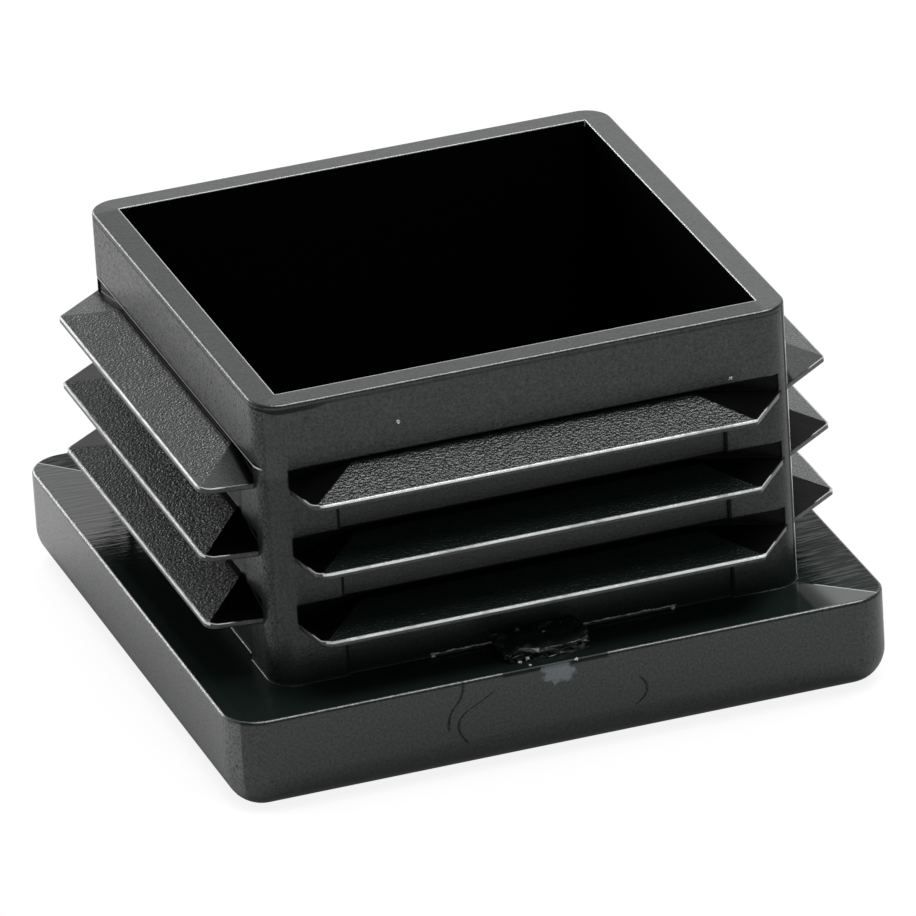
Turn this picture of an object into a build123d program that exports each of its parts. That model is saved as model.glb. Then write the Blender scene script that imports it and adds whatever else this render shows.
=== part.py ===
from build123d import *
import os

# Square tube end cap of black polyethylene, moulded in one piece. It stands on its head with the
# open end up. The origin is the middle of the head's outer face, +Z points into the tube, and -Y
# is the side with the gate mark. All sizes are millimetres.

# Head
head_width = 40.0  # outside of the square tube that the head covers
head_thickness = 5.9  # at the outer edge of the seat
head_round = 2.2  # on the upright corners and the lower edge
seat_edge_radius = 0.25  # round along the upper edge
seat_drop = 0.15  # the seat sinks this much from the outer edge to the shank

# Shank
shank_width = 32.2
shank_length = 17.4  # from the head's edge to the open rim
shank_corner_radius = 1.7
rim_radius = 0.18
wall = 1.6
floor_thickness = 3.4  # the head's plate under the cavity
collar_height = 4.1  # the plain band round the open end
panel_width = 23.3  # the recessed panel between the corner posts
panel_recess = 0.25

# Barbed ribs, three on each side
rib_count = 3
rib_pitch = 4.23
rib_root_gap = 0.15  # groove between the plain band's lower edge and the first rib's slope
rib_drop = 0.98  # from the top of the slope, at the shank, to the rib's edge
rib_reach = 3.05  # of the first rib, beyond the shank
rib_growth = 0.07  # each rib below reaches this much further
rib_edge = 0.3  # height of the thin upright edge

# Rib ends. The mould's two slides open along a diagonal. At the two corners where they part the
# ends are chamfered, and at the other two they are blunt. Lengths are from the side's middle.
blunt_edge = 14.0  # straight part of the edge
blunt_root = 14.5  # at the shank
blunt_corner_radius = 0.9
blunt_hip_slant = 1.1  # how far the hip leans back along the rib, for each mm inwards
chamfered_edge = 12.6
chamfered_root = 15.1
chamfered_corner_radius = 0.3
chamfered_hip_slant = 0.9

# Gate mark against the shank, where the sprue was broken off
gate_width = 4.4
gate_depth = 1.7
gate_height = 0.7

# Places worked out from the sizes
rim_z = head_thickness + shank_length
collar_z = rim_z - collar_height
first_tip_z = collar_z - rib_root_gap - rib_drop
shank_face = shank_width / 2
cavity_width = shank_width - 2 * wall
rib_root = shank_face - wall / 2  # the ribs grow out of the middle of the wall
seat_inner_z = head_thickness - seat_drop
side_turns = 4
diagonal = Plane(origin=(0, 0, 0), z_dir=(1, -1, 0))
other_diagonal = Plane(origin=(0, 0, 0), z_dir=(1, 1, 0))


def make_rib(tip_z, reach):
    """One rib on the -Y side: a flat underside, an upright edge, a long slope and a hip at each end."""
    out = shank_face + reach
    slope = rib_drop / reach
    inset = shank_face - rib_root
    # the ends close in by this much for each mm outwards
    blunt_run = (blunt_root - blunt_edge) / reach
    chamfered_run = (chamfered_root - chamfered_edge) / reach
    with BuildPart() as rib:
        with BuildSketch(Plane.XY.offset(tip_z - rib_edge)) as outline:
            with BuildLine():
                Polyline(
                    (-blunt_root - blunt_run * inset, -rib_root),
                    (-blunt_edge, -out),
                    (chamfered_edge, -out),
                    (chamfered_root + chamfered_run * inset, -rib_root),
                    close=True,
                )
            make_face()
            blunt_corner = outline.vertices().group_by(Axis.Y)[0].sort_by(Axis.X)[0]
            fillet(blunt_corner, blunt_corner_radius)
            chamfered_corner = outline.vertices().group_by(Axis.Y)[0].sort_by(Axis.X)[-1]
            fillet(chamfered_corner, chamfered_corner_radius)
        extrude(amount=rib_edge + slope * (out - rib_root))
        # the slope falls from the shank to the edge
        split(
            bisect_by=Plane(origin=(0, -out, tip_z), x_dir=(1, 0, 0), z_dir=(0, -slope, 1)),
            keep=Keep.BOTTOM,
        )
        # each hip holds the end of the edge, and meets the slope in a crease
        for end_x, end_run, slant in (
            (-blunt_edge, -blunt_run, blunt_hip_slant),
            (chamfered_edge, chamfered_run, -chamfered_hip_slant),
        ):
            end = Vector(end_x, -out, tip_z)
            along_end = Vector(end_run, 1, 0)
            crease = Vector(slant, 1, slope)
            normal = along_end.cross(crease)
            split(
                bisect_by=Plane(origin=end, z_dir=normal if normal.Z > 0 else -normal),
                keep=Keep.BOTTOM,
            )
    return rib.part


with BuildPart() as end_cap:
    # head plate, rounded on its upright corners and along its lower edge
    with BuildSketch():
        Rectangle(head_width, head_width)
    extrude(amount=head_thickness)
    fillet(end_cap.edges() - end_cap.faces().sort_by(Axis.Z)[-1].edges(), head_round)
    fillet(end_cap.faces().sort_by(Axis.Z)[-1].edges(), seat_edge_radius)
    # the seat sinks inwards on all four sides, so it has a mitre line at each corner
    with BuildSketch(Plane.XY.offset(seat_inner_z)):
        Rectangle(shank_width, shank_width)
    with BuildSketch(Plane.XY.offset(head_thickness)):
        Rectangle(head_width, head_width)
    loft(mode=Mode.SUBTRACT)
    # shank
    with BuildSketch(Plane.XY.offset(floor_thickness)):
        RectangleRounded(shank_width, shank_width, shank_corner_radius)
    extrude(amount=rim_z - floor_thickness)
    fillet(end_cap.faces().sort_by(Axis.Z)[-1].edges(), rim_radius)
    # panel between the posts, from the seat up to the first rib
    with BuildSketch(Plane.XY.offset(seat_inner_z)):
        with PolarLocations(shank_face - panel_recess / 2, side_turns, start_angle=-90):
            Rectangle(panel_recess, panel_width)
    extrude(amount=collar_z - seat_inner_z, mode=Mode.SUBTRACT)
    # the hollow over each rib, up to a little above its slope
    for level in range(rib_count):
        tip_z = first_tip_z - level * rib_pitch
        with BuildSketch(Plane.XY.offset(tip_z)):
            with Locations(((chamfered_root - blunt_root) / 2, panel_recess / 2 - shank_face)):
                Rectangle(blunt_root + chamfered_root, panel_recess)
            mirror(about=diagonal)
            mirror(about=other_diagonal)
        extrude(amount=rib_drop + rib_root_gap, mode=Mode.SUBTRACT)
    # ribs, with the blunt ends meeting at one diagonal and the chamfered ends at the other
    for level in range(rib_count):
        rib = make_rib(first_tip_z - level * rib_pitch, rib_reach + level * rib_growth)
        with PolarLocations(0, 2):
            add(rib)
            add(mirror(rib, about=diagonal, mode=Mode.PRIVATE))
    # cavity
    with BuildSketch(Plane.XY.offset(floor_thickness)):
        Rectangle(cavity_width, cavity_width)
    extrude(amount=rim_z - floor_thickness, mode=Mode.SUBTRACT)
    # gate mark, standing on the seat against the panel
    with BuildSketch(Plane.XY.offset(seat_inner_z)):
        with Locations((0, -(shank_face + gate_depth / 2 - panel_recess / 2))):
            Rectangle(gate_width, gate_depth + panel_recess)
    extrude(amount=gate_height)

end_cap.part.label = "end_cap"

os.makedirs("parts", exist_ok=True)
export_step(end_cap.part, "parts/end_cap.step")
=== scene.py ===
import bpy
import math
import random
from mathutils import Matrix, Vector


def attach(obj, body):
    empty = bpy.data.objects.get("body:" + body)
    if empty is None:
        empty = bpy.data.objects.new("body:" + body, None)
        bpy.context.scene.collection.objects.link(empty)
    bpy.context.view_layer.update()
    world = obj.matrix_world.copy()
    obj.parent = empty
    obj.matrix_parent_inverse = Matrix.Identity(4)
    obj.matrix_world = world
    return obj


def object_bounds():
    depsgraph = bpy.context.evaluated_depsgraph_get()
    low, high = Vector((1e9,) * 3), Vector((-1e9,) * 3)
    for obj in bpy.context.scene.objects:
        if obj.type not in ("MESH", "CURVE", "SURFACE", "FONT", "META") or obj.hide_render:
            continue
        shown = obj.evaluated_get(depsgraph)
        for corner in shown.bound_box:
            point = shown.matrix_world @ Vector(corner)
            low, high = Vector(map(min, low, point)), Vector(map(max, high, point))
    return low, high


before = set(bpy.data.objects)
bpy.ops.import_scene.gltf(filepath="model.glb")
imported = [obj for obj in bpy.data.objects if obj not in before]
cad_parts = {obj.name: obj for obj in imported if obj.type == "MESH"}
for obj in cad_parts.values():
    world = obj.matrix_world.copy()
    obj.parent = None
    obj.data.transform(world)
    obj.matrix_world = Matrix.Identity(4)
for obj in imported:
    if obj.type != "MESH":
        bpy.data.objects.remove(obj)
cad_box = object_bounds()

MM = 0.001

# Places on the cap's solid, in millimetres from the middle of the head's outer face. The first two
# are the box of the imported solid.
HEAD_HALF = round(cad_box[1][0] / MM, 3)
RIM_Z = round(cad_box[1][2] / MM, 3)
HEAD_TOP = 5.9
SHANK_HALF = 16.1
RECESS_OUT = 15.85
PANEL_HALF = 11.65
CAVITY_HALF = 14.5
CAVITY_FLOOR_Z = 3.4
COLLAR_Z = 19.2
FIRST_TIP_Z = 18.07
FIRST_RIB_FROM_Z = 16.6
RIB_PITCH = 4.23
LOWEST_TIP_Z = FIRST_TIP_Z - 2 * RIB_PITCH
RIBS_FROM_Z = 7.6
RIB_EDGE_OUT = 19.15

# Colours
BLACK = (0.0042, 0.0068, 0.0057, 1)
# painted shade: the deeper black of the cavity and the shadowed zones
PAINTED_SHADE_BLACK = (0.001, 0.001, 0.001, 1)
# painted reflection: the lighter grey of the head's left side
PAINTED_LIT_GREY = (0.066, 0.067, 0.069, 1)
# painted highlight: the pale colour of the edges' painted highlights
PAINTED_HIGHLIGHT_GREY = (0.40, 0.41, 0.41, 1)
TORN_FACET = (0.055, 0.062, 0.066, 1)
TORN_PALE = (0.30, 0.32, 0.32, 1)

# Grain and dents: noise scales are per millimetre, heights are millimetres
GRAIN_SCALE = 6.4
GRAIN_HEIGHT = 0.085
FINE_SCALE = 7.0
FINE_HEIGHT = 0.010
WAVE_SCALE = 0.9
WAVE_HEIGHT = 0.014
STREAK_SCALE = 3.4
STREAK_HEIGHT = 0.03
MOTTLE_SCALE = 6.5
EDGE_RADIUS = 0.14

# Shine of each zone, where 0.5 is plain plastic. Besides the torn edge, the zones' values paint light
# and shade by side and zone
PLAIN_SHINE = 0.49
LEFT_SLOPE_SHINE = 0.22
LOWER_LEFT_SLOPE_SHINE = 0.09
FRONT_SLOPE_SHINE = 0.29
LOWER_FRONT_SLOPE_SHINE = 0.06
SHADOWED_SHINE = 0.05
SEAT_SHINE = 0.05
DRAGGED_SEAT_SHINE = 0.18
LEFT_DRAGGED_SEAT_SHINE = 0.30
BACK_LEFT_SEAT_SHINE = 0.60
WEDGE_SHINE = 0.95
TORN_EDGE_SHINE = 0.08
CAVITY_SHINE = 0.08
SHADE_LINE_SHINE = 0.02

# The same as shares of the plain shine
LOW_SHANK_SHARE = 0.72
LEFT_SHANK_SHARE = 0.72
LEFT_HEAD_SHARE = 1.6
FAR_RIM_SHARE = 1.85

# Brightness of the painted highlight on the seat's mitre lines, where 1 is a full painted edge
# highlight, and the shine that a flow line takes away
MITRE_HIGHLIGHT = 0.6
FLOW_DARKENING = 0.35

# The sprue's torn stub, and the stretch of the head's edge that is torn in front of it, as x
SPRUE_MIDDLE = (-0.55, -17.3, 6.1)
SPRUE_SIZE = (4.9, 3.2, 0.95)
TORN_FROM = -3.8
TORN_TO = 2.6

# Thin flash on the shank's front, just above the seat, drawn as a painted highlight, in millimetres
FLASH_Z = 5.78
FLASH_FROM = -6.7
FLASH_TO = 8.2

# Flow lines on the head's front face, as x and z in millimetres, from the lowest place up
LEFT_FLOW = ((-7.2, 3.0), (-7.0, 4.1), (-6.4, 4.9), (-6.2, 5.9))
MIDDLE_FLOW = ((-6.1, 2.0), (-6.6, 3.2), (-6.2, 3.9), (-5.1, 4.5), (-4.3, 5.0))
RIGHT_FLOW = ((4.1, 2.3), (4.6, 2.7), (4.8, 3.3), (4.4, 4.0))

# Pale specks of torn plastic, in millimetres
SPECK_SIZE = (0.17, 0.17, 0.17)
SPECKS = (
    (-7.82, -16.1, 20.96),
    (12.15, -16.1, 19.57),
    (1.08, -16.5, 6.5),
    (0.7, -17.0, 6.29),
    (-0.23, -17.0, 6.45),
    (-2.41, -16.1, 5.98),
    (-6.6, -15.95, 5.9),
    (8.0, -15.95, 5.86),
    (0.67, -19.85, 5.8),
    (-2.0, -19.6, 5.8),
    (-2.4, -19.0, 5.85),
    (-2.8, -19.8, 5.7),
    (-1.9, -18.9, 6.0),
)

# Surroundings
WORLD_STRENGTH = 0.6
DARK_ABOVE_FRONT = 0.06
FLOOR_SIDE = 3
FLOOR_COLOUR = (0.8, 0.8, 0.8, 1)
CONTACT_REACH = 20 * MM

# Camera, fitted to the cap's edges in the photograph
CAMERA_AZIMUTH = math.radians(-17.641)
CAMERA_ELEVATION = math.radians(24.779)
CAMERA_ROLL = math.radians(-3.617)
CAMERA_DISTANCE = 680.756 * MM
CAMERA_TARGET = Vector((-8.077, -27.389, 23.446)) * MM
PICTURE_SIDE = 916
FOCAL_PIXELS = 12230.2
CENTRE_RIGHT_PIXELS = -1.363
CENTRE_DOWN_PIXELS = -0.264


def set_camera():
    """The camera of the photograph: a long lens from the front left, a little above."""
    azimuth, elevation = CAMERA_AZIMUTH, CAMERA_ELEVATION
    back = Vector((
        math.sin(azimuth) * math.cos(elevation),
        -math.cos(azimuth) * math.cos(elevation),
        math.sin(elevation),
    ))
    level = Vector((math.cos(azimuth), math.sin(azimuth), 0))
    upright = back.cross(level)
    right = level * math.cos(CAMERA_ROLL) + upright * math.sin(CAMERA_ROLL)
    up = upright * math.cos(CAMERA_ROLL) - level * math.sin(CAMERA_ROLL)
    data = bpy.data.cameras.new("camera")
    camera = bpy.data.objects.new("camera", data)
    bpy.context.scene.collection.objects.link(camera)
    turn = Matrix((right, up, back)).transposed()
    camera.location = CAMERA_TARGET + back * CAMERA_DISTANCE
    camera.rotation_euler = turn.to_euler()
    data.sensor_width = 36
    data.lens = FOCAL_PIXELS / PICTURE_SIDE * data.sensor_width
    data.shift_x = -CENTRE_RIGHT_PIXELS / PICTURE_SIDE
    data.shift_y = CENTRE_DOWN_PIXELS / PICTURE_SIDE
    data.clip_start = 0.01
    data.clip_end = 20
    bpy.context.scene.camera = camera


class Shader:
    """A node tree written as plain sums: each call adds one node and gives back its output."""

    def __init__(self, tree):
        self.nodes = tree.nodes
        self.links = tree.links

    def add(self, kind, **settings):
        node = self.nodes.new(kind)
        for name, value in settings.items():
            setattr(node, name, value)
        return node

    def feed(self, socket, value):
        if isinstance(value, bpy.types.NodeSocket):
            self.links.new(value, socket)
        else:
            socket.default_value = value

    def math(self, operation, *values, clamp=False):
        node = self.add("ShaderNodeMath", operation=operation, use_clamp=clamp)
        for socket, value in zip(node.inputs, values):
            self.feed(socket, value)
        return node.outputs[0]

    def ramp(self, value, low, high):
        """0 below low, 1 above high, smooth between them."""
        node = self.add("ShaderNodeMapRange", interpolation_type="SMOOTHSTEP")
        self.feed(node.inputs["Value"], value)
        self.feed(node.inputs["From Min"], low)
        self.feed(node.inputs["From Max"], high)
        return node.outputs["Result"]

    def between(self, value, low, high, soft):
        """1 inside low to high, 0 outside, with soft edges."""
        rise = self.ramp(value, low - soft, low + soft)
        fall = self.ramp(value, high - soft, high + soft)
        return self.math("SUBTRACT", rise, fall, clamp=True)

    def below(self, value, low, high):
        """1 below low, 0 above high, smooth between them."""
        return self.opposite(self.ramp(value, low, high))

    def split(self, vector):
        node = self.add("ShaderNodeSeparateXYZ")
        self.feed(node.inputs[0], vector)
        return node.outputs

    def stretch(self, vector, factors):
        node = self.add("ShaderNodeVectorMath", operation="MULTIPLY")
        self.feed(node.inputs[0], vector)
        node.inputs[1].default_value = factors
        return node.outputs["Vector"]

    def times(self, first, *others):
        for other in others:
            first = self.math("MULTIPLY", first, other)
        return first

    def both(self, *masks):
        """1 where all the masks are."""
        return self.times(*masks)

    def either(self, first, *others):
        """1 where any of the masks is."""
        for other in others:
            first = self.math("MAXIMUM", first, other)
        return first

    def opposite(self, mask):
        return self.math("SUBTRACT", 1.0, mask)

    def mix(self, share, first, second):
        node = self.add("ShaderNodeMix", data_type="FLOAT")
        self.feed(node.inputs[0], share)
        self.feed(node.inputs[2], first)
        self.feed(node.inputs[3], second)
        return node.outputs[0]

    def mix_colour(self, share, first, second):
        node = self.add("ShaderNodeMix", data_type="RGBA")
        self.feed(node.inputs[0], share)
        self.feed(node.inputs[6], first)
        self.feed(node.inputs[7], second)
        return node.outputs[2]

    def noise(self, place, scale, detail=2.0, roughness=0.5):
        node = self.add("ShaderNodeTexNoise")
        self.feed(node.inputs["Vector"], place)
        self.feed(node.inputs["Scale"], scale)
        self.feed(node.inputs["Detail"], detail)
        self.feed(node.inputs["Roughness"], roughness)
        return node.outputs["Fac"]


class Cap:
    """Places on the cap, in millimetres, and its zones as masks that are 1 inside and 0 outside."""

    def __init__(self, s):
        coordinates = s.add("ShaderNodeTexCoord")
        scaled = s.add("ShaderNodeVectorMath", operation="SCALE")
        s.feed(scaled.inputs[0], coordinates.outputs["Object"])
        scaled.inputs["Scale"].default_value = 1 / MM
        self.place = scaled.outputs["Vector"]
        self.x, self.y, self.z = s.split(self.place)
        self.normal_x, self.normal_y, self.normal_z = s.split(coordinates.outputs["Normal"])
        self.across = s.math("ABSOLUTE", self.x)
        self.along = s.math("ABSOLUTE", self.y)
        self.out = s.either(self.across, self.along)
        below_first = s.math("SUBTRACT", FIRST_TIP_Z, self.z)
        self.below_tip = s.math("WRAP", below_first, RIB_PITCH / 2, -RIB_PITCH / 2)
        self.add_sides(s)
        self.add_parts(s)
        self.add_ribs(s)
        self.add_marks(s)

    def add_sides(self, s):
        """Which of the four sides a place is on, and how squarely the surface faces that side."""
        on_x_side = s.math("GREATER_THAN", self.across, self.along)
        on_y_side = s.math("GREATER_THAN", self.along, self.across)
        self.front = s.both(on_y_side, s.below(self.y, -0.5, 0.5))
        self.right = s.both(on_x_side, s.ramp(self.x, -0.5, 0.5))
        self.left = s.both(on_x_side, s.below(self.x, -0.5, 0.5))
        turned_x = s.math("ABSOLUTE", self.normal_x)
        turned_y = s.math("ABSOLUTE", self.normal_y)
        self.faces_out = s.mix(on_x_side, turned_y, turned_x)
        self.faces_left = s.below(self.normal_x, -0.95, -0.8)
        self.turns_to_front = s.below(self.normal_y, -0.2, -0.1)

    def add_parts(self, s):
        """The head's side, seat, shank, plain collar, rim and cavity."""
        out, z, normal_z = self.out, self.z, self.normal_z
        at_side = s.ramp(out, HEAD_HALF - 1.0, HEAD_HALF - 0.5)
        self.head_side = s.both(s.below(z, HEAD_TOP - 0.2, HEAD_TOP), at_side)
        seat_heights = s.between(z, HEAD_TOP - 0.4, HEAD_TOP + 0.1, 0.03)
        self.seat = s.both(seat_heights, s.ramp(normal_z, 0.9, 0.97))
        on_shank = s.below(out, SHANK_HALF + 0.02, SHANK_HALF + 0.1)
        self.shank = s.both(on_shank, s.ramp(z, HEAD_TOP, HEAD_TOP + 0.2))
        self.left_collar = s.both(self.left, self.shank, self.faces_left, s.below(normal_z, 0.1, 0.3))
        self.rim = s.both(s.ramp(z, RIM_Z - 0.1, RIM_Z - 0.02), s.ramp(normal_z, 0.8, 0.9))
        inside = s.below(out, CAVITY_HALF + 0.05, CAVITY_HALF + 0.2)
        under_rim = s.below(z, RIM_Z - 0.1, RIM_Z - 0.02)
        self.cavity = s.both(inside, s.ramp(z, CAVITY_FLOOR_Z - 0.4, CAVITY_FLOOR_Z - 0.1), under_rim)

    def add_ribs(self, s):
        """The ribs' grained slopes, their hips, and what lies in shadow at their roots."""
        out, z = self.out, self.z
        self.first_rib = s.ramp(z, FIRST_RIB_FROM_Z, FIRST_RIB_FROM_Z + 0.3)
        self.lower_ribs = s.opposite(self.first_rib)
        above_seat = s.ramp(z, RIBS_FROM_Z, RIBS_FROM_Z + 0.3)
        below_collar = s.below(z, COLLAR_Z - 0.2, COLLAR_Z - 0.1)
        self.on_rib = s.both(s.ramp(out, SHANK_HALF + 0.2, SHANK_HALF + 0.4), above_seat, below_collar)
        faces_up = s.ramp(self.normal_z, 0.5, 0.6)
        rib_top = s.both(s.ramp(out, SHANK_HALF + 0.06, SHANK_HALF + 0.14), above_seat, faces_up)
        # the first rib on the left is grained over its far hip too
        far_left = s.both(self.left, self.first_rib, s.ramp(self.y, 8.0, 9.0))
        self.slope = s.both(rib_top, s.either(s.ramp(self.faces_out, 0.18, 0.26), far_left))
        hip = s.math("SUBTRACT", rib_top, self.slope, clamp=True)
        dark_hip = s.both(hip, s.either(self.front, self.lower_ribs))
        root_heights = s.between(z, LOWEST_TIP_Z - 0.11, COLLAR_Z + 0.1, 0.05)
        root = s.both(s.below(out, SHANK_HALF + 0.2, SHANK_HALF + 0.45), faces_up, root_heights)
        in_recess = s.below(out, RECESS_OUT + 0.05, RECESS_OUT + 0.13)
        over_rib = s.both(
            s.between(self.below_tip, -1.16, 0.0, 0.02),
            s.between(z, LOWEST_TIP_Z - 0.01, COLLAR_Z + 0.02, 0.02),
        )
        hollow = s.both(over_rib, in_recess, s.ramp(self.faces_out, 0.985, 0.995))
        # these zones get painted shade, in colour and in shine
        self.shadowed = s.either(dark_hip, root, hollow)

    def add_marks(self, s):
        """The drag marks on the seat and the stretch of the head's edge that is torn."""
        self.streak = s.noise(s.stretch(self.place, (0.12, 1.0, 1.0)), STREAK_SCALE, 2.0, 0.6)
        self.dragged = s.either(self.right, s.ramp(self.y, 2.0, 7.0))
        torn_width = s.between(self.x, TORN_FROM, TORN_TO, 0.1)
        self.torn_stretch = s.both(torn_width, s.below(self.z, 7.0, 7.2), self.front)


def surface_height(s, cap):
    """Grain on the ribs' slopes, drag marks on the seat and slight waves all over."""
    grain = s.noise(cap.place, GRAIN_SCALE, 1.5, 0.6)
    fine = s.noise(cap.place, FINE_SCALE, 1.0, 0.5)
    wave = s.noise(cap.place, WAVE_SCALE, 2.0, 0.5)
    plain = s.math("ADD", s.times(fine, FINE_HEIGHT), s.times(wave, WAVE_HEIGHT))
    height = s.mix(cap.seat, plain, s.times(cap.streak, cap.dragged, STREAK_HEIGHT))
    return s.mix(cap.slope, height, s.times(grain, GRAIN_HEIGHT))


def painted_edge_highlights(s, cap, rounded_normal):
    """Painted highlights on the sharp edges, the seat's mitre lines, the corner's glint and the flash,
    pale in colour and at full shine, but for the stretch where the sprue was torn off.
    """
    x, z, out = cap.x, cap.z, cap.out
    turned = s.add("ShaderNodeVectorMath", operation="DOT_PRODUCT")
    s.feed(turned.inputs[0], rounded_normal)
    s.feed(turned.inputs[1], s.add("ShaderNodeNewGeometry").outputs["Normal"])
    edge_highlight = s.below(turned.outputs["Value"], 0.90, 0.985)
    edge_highlight = s.both(edge_highlight, s.either(s.ramp(out, 17.6, 18.0), s.ramp(z, RIM_Z - 0.5, RIM_Z - 0.3)))
    edge_highlight = s.both(edge_highlight, s.ramp(cap.normal_z, -0.2, 0.0), s.ramp(z, 3.0, 4.0))
    under_lip = s.both(cap.on_rib, s.ramp(cap.below_tip, 0.14, 0.2))
    edge_highlight = s.both(edge_highlight, s.opposite(under_lip))
    # painted highlight on the ribs' lips, patchy along them
    at_edge = s.ramp(out, RIB_EDGE_OUT - 0.13, RIB_EDGE_OUT - 0.07)
    lip = s.both(s.between(cap.below_tip, -0.03, 0.10, 0.02), cap.on_rib, at_edge)
    patchy = s.mix(s.ramp(s.noise(cap.place, 0.35, 3.0, 0.7), 0.36, 0.52), 0.45, 1.0)
    # painted highlight along the left collar's lower edge
    collar_edge = s.both(cap.left_collar, s.between(z, COLLAR_Z - 0.02, COLLAR_Z + 0.08, 0.02))
    edge_highlight = s.either(edge_highlight, s.both(lip, patchy), collar_edge)
    edge_highlight = s.math("SUBTRACT", edge_highlight, cap.torn_stretch, clamp=True)
    # painted highlight on the seat's mitre lines, but for the one at the front left
    off_diagonal = s.math("ABSOLUTE", s.math("SUBTRACT", cap.across, cap.along))
    beyond_shank = s.ramp(out, SHANK_HALF + 0.3, SHANK_HALF + 0.5)
    mitre = s.both(s.below(off_diagonal, 0.03, 0.09), cap.seat, beyond_shank)
    mitre = s.times(mitre, s.ramp(s.math("ADD", x, cap.y), -10.0, -5.0), MITRE_HIGHLIGHT)
    # painted glint down the shank's front right corner
    glint = s.both(s.between(cap.normal_x, 0.86, 0.95, 0.03), cap.turns_to_front, cap.shank)
    glint = s.both(glint, s.below(z, 20.6, 20.9))
    return s.either(edge_highlight, mitre, glint, flash_highlight(s, cap))


def flash_highlight(s, cap):
    """A thin, wavering line of flash on both sides of the torn sprue, drawn as a painted highlight."""
    along_x = s.stretch(cap.place, (1.0, 0.0, 0.0))
    waver = s.noise(along_x, 0.9, 3.0, 0.7)
    middle = s.math("ADD", FLASH_Z, s.times(waver, 0.3))
    off = s.math("ABSOLUTE", s.math("SUBTRACT", cap.z, middle))
    thick = s.ramp(s.noise(along_x, 2.1, 2.0, 0.6), 0.35, 0.65)
    line = s.below(off, 0.0, s.math("ADD", 0.02, s.times(thick, 0.07)))
    on_wall = s.below(cap.out, SHANK_HALF - 0.1, SHANK_HALF)
    span = s.between(cap.x, FLASH_FROM, FLASH_TO, 0.1)
    sprue = s.between(cap.x, -2.3, 2.1, 0.1)
    return s.both(line, cap.front, on_wall, span, s.opposite(sprue))


def painted_shade_lines(s, cap):
    """Painted shade: dark lines, given almost no shine, beside each panel, under the rim, beside the
    corner's glint and above the collar's.
    """
    x, z, normal_z = cap.x, cap.z, cap.normal_z
    from_middle = s.math("MINIMUM", cap.across, cap.along)
    panel_edge = s.between(from_middle, PANEL_HALF, PANEL_HALF + 0.17, 0.03)
    step = s.both(panel_edge, s.below(z, COLLAR_Z - 0.3, COLLAR_Z - 0.1))
    # thicker by the front left corner
    rim_line_z = s.mix(s.between(x, -15.4, -12.4, 0.6), RIM_Z - 0.46, RIM_Z - 0.62)
    rim_line_top = s.math("ADD", rim_line_z, 0.1)
    rim_line = s.both(s.ramp(z, rim_line_z, rim_line_top), s.below(z, RIM_Z - 0.32, RIM_Z - 0.2))
    rim_line = s.both(rim_line, s.ramp(cap.out, 15.4, 15.5), s.below(normal_z, 0.3, 0.5))
    rim_line = s.times(rim_line, s.mix(s.ramp(x, -14.0, -10.0), 0.85, 0.4))
    above_collar_edge = s.both(cap.left_collar, s.between(z, COLLAR_Z + 0.12, COLLAR_Z + 0.22, 0.03))
    beside_glint = s.both(s.between(cap.normal_x, 0.72, 0.83, 0.04), cap.turns_to_front)
    return s.both(s.either(step, rim_line, beside_glint, above_collar_edge), cap.shank)


def flow_lines(s, cap):
    """The flow lines on the head's front face."""
    lines = [flow_line(s, cap.x, cap.z, places) for places in (LEFT_FLOW, MIDDLE_FLOW, RIGHT_FLOW)]
    return s.both(s.either(*lines), s.below(cap.y, 0.1 - HEAD_HALF, 0.2 - HEAD_HALF))


def flow_line(s, x, z, places):
    """A wavering line through the given places, each x and z in millimetres."""
    # the curve's own range, 0 to 1, stands for these heights and widths
    tall = 6
    half_wide = 10
    wide = 2 * half_wide
    curve = s.add("ShaderNodeFloatCurve")
    s.feed(curve.inputs["Value"], s.math("DIVIDE", z, tall))
    spots = curve.mapping.curves[0].points
    for spot, (place_x, place_z) in zip(spots, (places[0], places[-1])):
        spot.location = (place_z / tall, (place_x + half_wide) / wide)
    for place_x, place_z in places[1:-1]:
        spots.new(place_z / tall, (place_x + half_wide) / wide)
    curve.mapping.update()
    line_x = s.math("SUBTRACT", s.times(curve.outputs["Value"], wide), half_wide)
    off = s.math("ABSOLUTE", s.math("SUBTRACT", x, line_x))
    inside = s.between(z, places[0][1], places[-1][1], 0.15)
    return s.both(inside, s.below(off, 0.04, 0.13))


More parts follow.
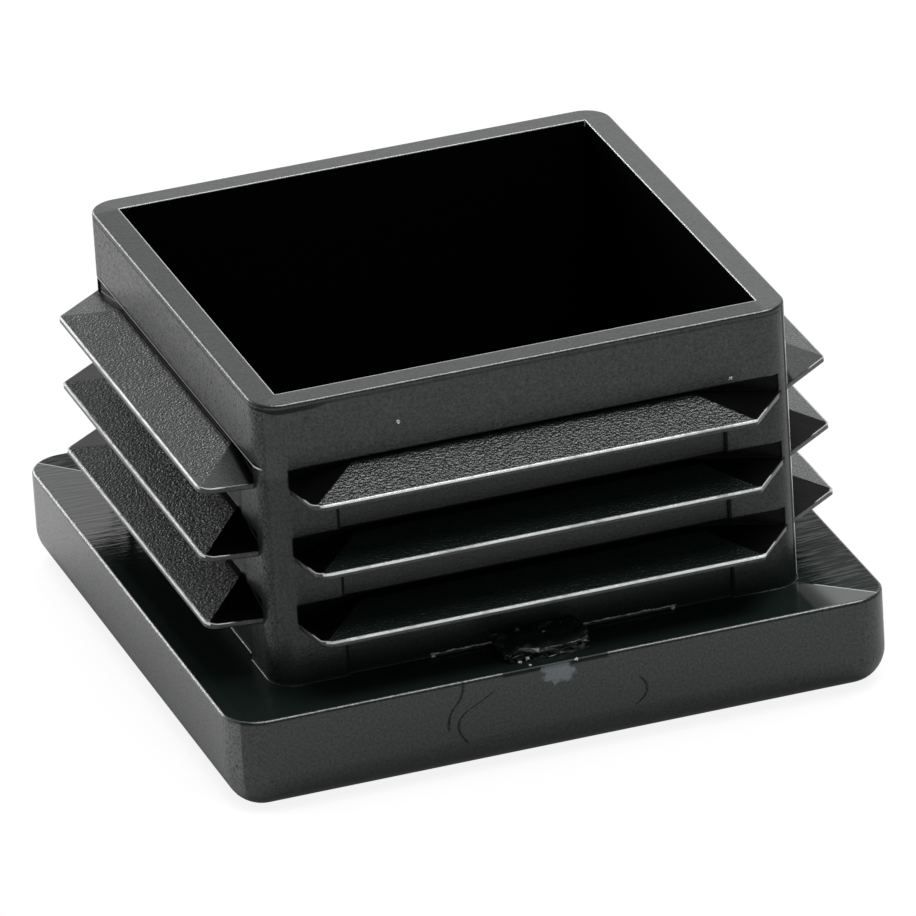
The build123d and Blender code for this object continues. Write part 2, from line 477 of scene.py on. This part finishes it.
def shine_of(s, cap, edge_highlight, line, flow):
    """How strongly each zone reflects. Besides the drag marks, flow lines and torn lip, the shine is set
    by side and zone as painted light and shade: highlights at full shine, shade lines and shadowed zones
    at almost none.
    """
    x, y, z = cap.x, cap.y, cap.z
    speckle = s.math("SUBTRACT", s.noise(cap.place, MOTTLE_SCALE, 2.0, 0.8), 0.5)
    coarse = s.mix(s.below(cap.normal_x, -0.95, -0.6), 0.9, 2.6)
    shine = s.math("ADD", PLAIN_SHINE, s.times(speckle, coarse), clamp=True)
    below_collar = s.both(cap.shank, s.below(z, COLLAR_Z - 0.6, COLLAR_Z - 0.3))
    far_x = s.ramp(x, CAVITY_HALF - 0.3, CAVITY_HALF + 0.1)
    far_y = s.ramp(y, CAVITY_HALF - 0.3, CAVITY_HALF + 0.1)
    far_rim = s.both(cap.rim, s.either(far_x, far_y))
    for zone, share in (
        (below_collar, LOW_SHANK_SHARE),
        (s.both(cap.left, cap.shank), LEFT_SHANK_SHARE),
        (s.both(cap.left, cap.head_side), LEFT_HEAD_SHARE),
        (far_rim, FAR_RIM_SHARE),
    ):
        shine = s.times(shine, s.mix(zone, 1.0, share))
    left_slope_shine = s.mix(cap.lower_ribs, LEFT_SLOPE_SHINE, LOWER_LEFT_SLOPE_SHINE)
    at_head_edge = s.both(s.ramp(z, HEAD_TOP - 0.35, HEAD_TOP - 0.2), s.ramp(cap.out, 19.5, 19.7))
    torn_lip = s.both(cap.torn_stretch, at_head_edge)
    seat_drag = s.both(s.ramp(cap.streak, 0.48, 0.58), cap.dragged)
    dragged_shine = s.mix(cap.left, DRAGGED_SEAT_SHINE, LEFT_DRAGGED_SEAT_SHINE)
    # the two parts of the seat that shine evenly: the back left one and the front right wedge
    back_left = s.both(cap.left, cap.seat, s.ramp(y, 5.5, 9.0))
    wedge = s.both(cap.front, cap.seat, s.ramp(x, 15.2, 15.5))
    for zone, value in (
        (s.both(cap.slope, cap.left), left_slope_shine),
        (s.both(cap.slope, cap.front, cap.lower_ribs), LOWER_FRONT_SLOPE_SHINE),
        (s.both(cap.slope, cap.front, cap.first_rib), FRONT_SLOPE_SHINE),
        (cap.shadowed, SHADOWED_SHINE),
        (cap.seat, s.mix(seat_drag, SEAT_SHINE, dragged_shine)),
        (s.either(back_left, wedge), s.mix(wedge, BACK_LEFT_SEAT_SHINE, WEDGE_SHINE)),
        (torn_lip, TORN_EDGE_SHINE),
        (cap.cavity, CAVITY_SHINE),
        (edge_highlight, 1.0),
        (line, SHADE_LINE_SHINE),
    ):
        shine = s.mix(zone, shine, value)
    return s.math("SUBTRACT", shine, s.times(flow, FLOW_DARKENING), clamp=True)


def colour_of(s, cap, edge_highlight):
    """Black, but for painted shade in the cavity and shadowed zones, the painted lighter left side of
    the head, the painted edge highlights and the torn facet.
    """
    # painted shade: deeper black in the cavity, on the hips, at the ribs' roots and in the hollows
    colour = s.mix_colour(s.either(cap.cavity, cap.shadowed), BLACK, PAINTED_SHADE_BLACK)
    # painted reflection: the head's left side lighter grey, most towards the back
    painted_lit_left = s.both(cap.left, cap.head_side, s.mix(s.ramp(cap.y, 4.0, 18.0), 0.35, 1.0))
    colour = s.mix_colour(painted_lit_left, colour, PAINTED_LIT_GREY)
    # painted highlights on the edges, mitre lines, corner glint and flash
    colour = s.mix_colour(edge_highlight, colour, PAINTED_HIGHLIGHT_GREY)
    # the pale facet of the tear, below the head's edge
    ragged = s.times(s.math("SUBTRACT", s.noise(cap.place, 2.2, 2.0, 0.6), 0.5), 1.6)
    facet = s.between(s.math("ADD", cap.x, ragged), -1.3, 0.4, 0.2)
    facet = s.both(facet, s.ramp(s.math("ADD", cap.z, ragged), 4.6, 4.95), cap.head_side, cap.front)
    return s.mix_colour(facet, colour, TORN_FACET)


def black_polyethylene():
    """Moulded black polyethylene, with the marks that moulding and handling left on this cap, and with
    painted highlights, painted shade and shine set by side as painted light.
    """
    material = bpy.data.materials.new("black_polyethylene")
    material.use_nodes = True
    s = Shader(material.node_tree)
    s.nodes.clear()
    cap = Cap(s)
    bevel = s.add("ShaderNodeBevel", samples=8)
    bevel.inputs["Radius"].default_value = EDGE_RADIUS * MM
    edge_highlight = painted_edge_highlights(s, cap, bevel.outputs["Normal"])
    shine = shine_of(s, cap, edge_highlight, painted_shade_lines(s, cap), flow_lines(s, cap))
    bump = s.add("ShaderNodeBump")
    bump.inputs["Strength"].default_value = 1.0
    bump.inputs["Distance"].default_value = MM
    s.feed(bump.inputs["Height"], surface_height(s, cap))
    s.feed(bump.inputs["Normal"], bevel.outputs["Normal"])
    plastic = s.add("ShaderNodeBsdfPrincipled")
    plastic.inputs["IOR"].default_value = 1.51
    s.feed(plastic.inputs["Base Color"], colour_of(s, cap, edge_highlight))
    s.feed(plastic.inputs["Specular IOR Level"], shine)
    s.feed(plastic.inputs["Roughness"], s.mix(cap.slope, s.mix(cap.seat, 0.30, 0.16), 0.24))
    s.feed(plastic.inputs["Normal"], bump.outputs["Normal"])
    output = s.add("ShaderNodeOutputMaterial")
    s.links.new(plastic.outputs["BSDF"], output.inputs["Surface"])
    return material


def torn_polyethylene():
    """Where the plastic was torn off it is rough, and stretched pale."""
    material = bpy.data.materials.new("torn_polyethylene")
    material.use_nodes = True
    plastic = material.node_tree.nodes["Principled BSDF"]
    plastic.inputs["Base Color"].default_value = TORN_PALE
    plastic.inputs["Roughness"].default_value = 0.6
    return material


def white_for_eye(s, plain_shader, gloss, seen_white=1.0):
    """seen_white to the camera, gloss to shiny and clear surfaces, plain_shader to all other light."""
    rays = s.add("ShaderNodeLightPath")
    shiny = s.math("MAXIMUM", rays.outputs["Is Glossy Ray"], rays.outputs["Is Transmission Ray"])
    seen = s.math("MAXIMUM", rays.outputs["Is Camera Ray"], shiny)
    white = s.add("ShaderNodeBackground" if plain_shader.type == "BACKGROUND" else "ShaderNodeEmission")
    white.inputs["Color"].default_value = (1, 1, 1, 1)
    s.feed(white.inputs["Strength"], s.mix(rays.outputs["Is Camera Ray"], gloss, seen_white))
    mixed = s.add("ShaderNodeMixShader")
    s.feed(mixed.inputs[0], seen)
    s.links.new(plain_shader.outputs[0], mixed.inputs[1])
    s.links.new(white.outputs[0], mixed.inputs[2])
    return mixed


def set_surroundings():
    """A white studio with a white floor, dark above the front."""
    world = bpy.data.worlds.new("studio")
    bpy.context.scene.world = world
    world.use_nodes = True
    world.cycles.sampling_method = "NONE"
    s = Shader(world.node_tree)
    s.nodes.clear()
    plain = s.add("ShaderNodeBackground")
    plain.inputs["Color"].default_value = (1, 1, 1, 1)
    plain.inputs["Strength"].default_value = WORLD_STRENGTH
    _, ray_y, ray_z = s.split(s.add("ShaderNodeTexCoord").outputs["Generated"])
    above_front = s.both(s.below(ray_y, 0.0, 0.5), s.ramp(ray_z, 0.0, 0.2))
    mixed = white_for_eye(s, plain, s.mix(above_front, 1.0, DARK_ABOVE_FRONT))
    output = s.add("ShaderNodeOutputWorld")
    s.links.new(mixed.outputs[0], output.inputs["Surface"])

    bpy.ops.object.select_all(action="DESELECT")
    bpy.ops.mesh.primitive_plane_add(size=FLOOR_SIDE, location=(0, 0, 0))
    floor = bpy.context.active_object
    floor.name = "floor"
    paint = bpy.data.materials.new("floor_white")
    paint.use_nodes = True
    paint.cycles.emission_sampling = "NONE"
    s = Shader(paint.node_tree)
    s.nodes.clear()
    matt = s.add("ShaderNodeBsdfDiffuse")
    matt.inputs["Color"].default_value = FLOOR_COLOUR
    # painted shadow: ambient occlusion darkens the floor close to the cap, in reflections above all
    open_floor = s.add("ShaderNodeAmbientOcclusion", samples=8)
    open_floor.inputs["Distance"].default_value = CONTACT_REACH
    reach = open_floor.outputs["AO"]
    mirrored = s.mix(s.ramp(reach, 0.4, 0.95), 0.14, 1.0)
    mixed = white_for_eye(s, matt, mirrored, s.mix(s.ramp(reach, 0.3, 0.68), 0.88, 1.02))
    output = s.add("ShaderNodeOutputMaterial")
    s.links.new(mixed.outputs[0], output.inputs["Surface"])
    floor.data.materials.append(paint)


def softbox(name, place, aim, width, depth, power):
    data = bpy.data.lights.new(name, "AREA")
    data.shape = "RECTANGLE"
    data.size = width
    data.size_y = depth
    data.energy = power
    lamp = bpy.data.objects.new(name, data)
    bpy.context.scene.collection.objects.link(lamp)
    lamp.location = place
    lamp.rotation_euler = (Vector(aim) - Vector(place)).to_track_quat("-Z", "Y").to_euler()


def ragged_block(name, middle, size, cuts, rough, material, seed):
    """A small block of torn plastic, in millimetres, with its points moved at random by up to rough."""
    dice = random.Random(seed)
    bpy.ops.object.select_all(action="DESELECT")
    bpy.ops.mesh.primitive_cube_add(size=1)
    piece = bpy.context.active_object
    piece.name = name
    bpy.ops.object.mode_set(mode="EDIT")
    bpy.ops.mesh.select_all(action="SELECT")
    bpy.ops.mesh.subdivide(number_cuts=cuts)
    bpy.ops.object.mode_set(mode="OBJECT")
    for vertex in piece.data.vertices:
        for axis in range(3):
            place = middle[axis] + vertex.co[axis] * size[axis] + dice.uniform(-rough, rough)
            vertex.co[axis] = place * MM
    piece.data.materials.append(material)
    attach(piece, "root")


bpy.context.scene.view_settings.view_transform = "Standard"
set_camera()
set_surroundings()
cap_middle = (0, 0, 0.01)
softbox("softbox_above", (0.15, -0.04, 0.72), cap_middle, width=0.45, depth=0.5, power=10)
softbox("softbox_back_left", (-0.245, 0.644, 0.154), cap_middle, width=0.25, depth=0.26, power=2)

black = black_polyethylene()
torn = torn_polyethylene()
end_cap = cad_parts["end_cap"]
end_cap.data.materials.clear()
end_cap.data.materials.append(black)

# The sprue's torn stub, from the shank to the head's edge
ragged_block("sprue_stub", SPRUE_MIDDLE, SPRUE_SIZE, cuts=7, rough=0.22, material=black, seed=3)
for number, place in enumerate(SPECKS):
    name = f"speck_{number}"
    ragged_block(name, place, SPECK_SIZE, cuts=2, rough=0.04, material=torn, seed=20 + number)
